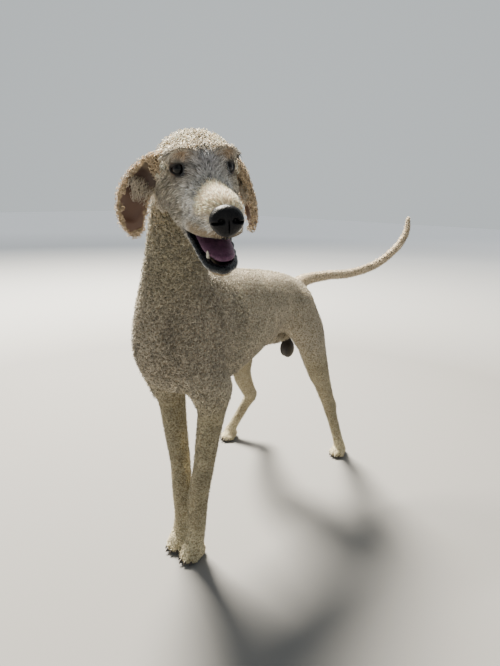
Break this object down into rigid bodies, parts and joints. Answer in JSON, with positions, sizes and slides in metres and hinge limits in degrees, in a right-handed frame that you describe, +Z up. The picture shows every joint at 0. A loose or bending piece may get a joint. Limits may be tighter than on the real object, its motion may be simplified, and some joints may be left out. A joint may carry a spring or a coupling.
{
  "type": "standard poodle",
  "caption": "Standing standard poodle in a short clip, head turned to its left with the mouth open, drop ears, long tail held out behind.",
  "frame": {"origin": "on the floor under the middle of the bounding box", "axes": "+X to the dog's left, -Y the way the body faces, +Z up; the soles stand on Z = 0"},
  "size_m": [0.5888, 1.0422, 0.8887],
  "materials": {
    "body_coat": "short clipped curly coat, cream with apricot roots",
    "face_coat": "shaved face under a curlier topknot, pale grey cream",
    "ear_coat": "curly tan ear hair over pinkish brown leather",
    "nose_leather": "moist black, finely pebbled",
    "eye": "wet dark brown",
    "tongue": "moist purple pink",
    "bare_skin": "dark bare skin",
    "claw": "dark horn"
  },
  "bodies": {
    "root": {"head": "face_coat", "lower_jaw": "face_coat", "tongue": "tongue", "nose": "nose_leather", "left_eye": "eye", "right_eye": "eye", "left_ear": "ear_coat", "right_ear": "ear_coat", "neck": "body_coat", "torso": "body_coat", "rump": "body_coat", "scrotum": "bare_skin", "tail_root": "body_coat", "tail_1": "body_coat", "tail_2": "body_coat", "tail_tip": "body_coat", "left_forearm": "body_coat", "left_front_pastern": "body_coat", "left_forepaw": "body_coat", "left_forepaw_claw_1": "claw", "left_forepaw_claw_2": "claw", "left_forepaw_claw_3": "claw", "left_forepaw_claw_4": "claw", "right_forearm": "body_coat", "right_front_pastern": "body_coat", "right_forepaw": "body_coat", "right_forepaw_claw_1": "claw", "right_forepaw_claw_2": "claw", "right_forepaw_claw_3": "claw", "right_forepaw_claw_4": "claw", "left_thigh": "body_coat", "left_rear_pastern": "body_coat", "left_hindpaw": "body_coat", "left_hindpaw_claw_1": "claw", "left_hindpaw_claw_2": "claw", "left_hindpaw_claw_3": "claw", "left_hindpaw_claw_4": "claw", "right_thigh": "body_coat", "right_rear_pastern": "body_coat", "right_hindpaw": "body_coat", "right_hindpaw_claw_1": "claw", "right_hindpaw_claw_2": "claw", "right_hindpaw_claw_3": "claw", "right_hindpaw_claw_4": "claw"}
  },
  "joints": []
}
